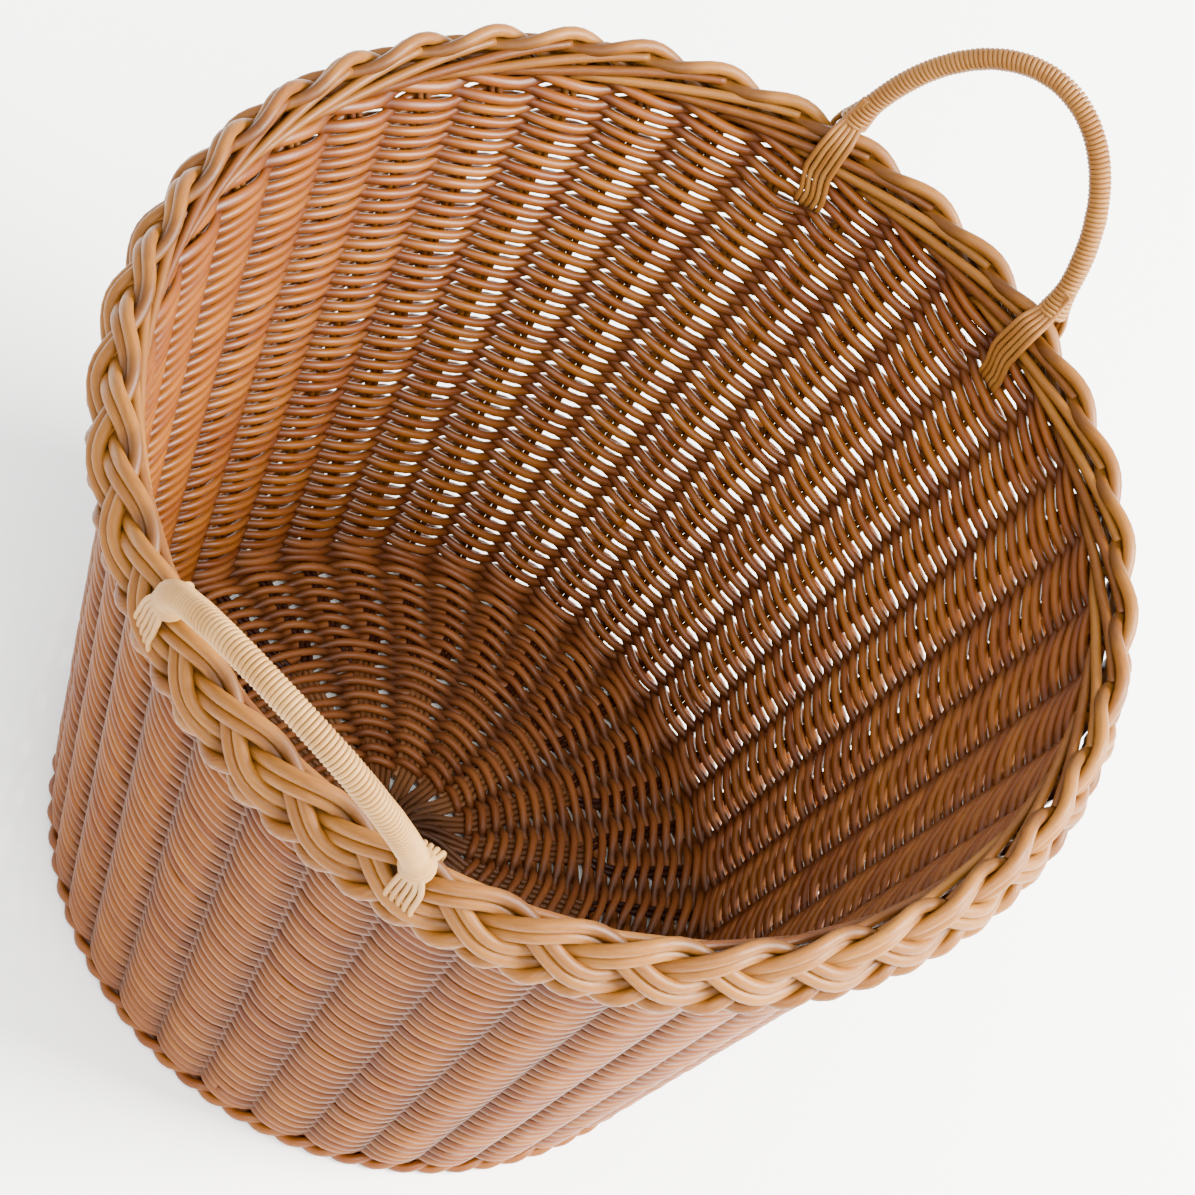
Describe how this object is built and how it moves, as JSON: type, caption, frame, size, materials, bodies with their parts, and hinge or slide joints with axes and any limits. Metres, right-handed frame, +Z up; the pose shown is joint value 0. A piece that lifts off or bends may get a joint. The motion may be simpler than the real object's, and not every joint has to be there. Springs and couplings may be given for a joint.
{
  "type": "laundry basket",
  "caption": "Round tapered woven basket with an open mouth, ribbed sides, a plaited border and two rigid wrapped handles that lean outwards.",
  "frame": {"origin": "on the floor under the middle of the base", "axes": "+Z up out of the mouth, X through both handles, Y across them"},
  "size_m": [0.4558, 0.412, 0.3793],
  "materials": {
    "stake_rod": "peeled rod, satin",
    "base_weave": "peeled rod, satin",
    "foot_weave": "peeled rod, satin",
    "wall_weave": "peeled rod, satin",
    "border_plait": "peeled rod, semi-gloss",
    "handle_wrap": "thin peeled strand, semi-gloss",
    "handle_lashing": "peeled rod, semi-gloss"
  },
  "bodies": {
    "root": {"stake_01": "stake_rod", "stake_02": "stake_rod", "stake_03": "stake_rod", "stake_04": "stake_rod", "stake_05": "stake_rod", "stake_06": "stake_rod", "stake_07": "stake_rod", "stake_08": "stake_rod", "stake_09": "stake_rod", "stake_10": "stake_rod", "stake_11": "stake_rod", "stake_12": "stake_rod", "stake_13": "stake_rod", "stake_14": "stake_rod", "stake_15": "stake_rod", "stake_16": "stake_rod", "stake_17": "stake_rod", "stake_18": "stake_rod", "stake_19": "stake_rod", "stake_20": "stake_rod", "stake_21": "stake_rod", "stake_22": "stake_rod", "stake_23": "stake_rod", "stake_24": "stake_rod", "stake_25": "stake_rod", "stake_26": "stake_rod", "stake_27": "stake_rod", "stake_28": "stake_rod", "stake_29": "stake_rod", "stake_30": "stake_rod", "stake_31": "stake_rod", "stake_32": "stake_rod", "stake_33": "stake_rod", "stake_34": "stake_rod", "stake_35": "stake_rod", "stake_36": "stake_rod", "stake_37": "stake_rod", "stake_38": "stake_rod", "base_spokes": "stake_rod", "base_weave_inner": "base_weave", "base_weave_outer": "base_weave", "foot_wale": "foot_weave", "wall_weave": "wall_weave", "top_wale": "wall_weave", "border_braid": "border_plait", "handle_a_core": "stake_rod", "handle_a_wrap": "handle_wrap", "handle_a_lashing_left": "handle_lashing", "handle_a_lashing_right": "handle_lashing", "handle_b_core": "stake_rod", "handle_b_wrap": "handle_wrap", "handle_b_lashing_left": "handle_lashing", "handle_b_lashing_right": "handle_lashing"}
  },
  "joints": []
}
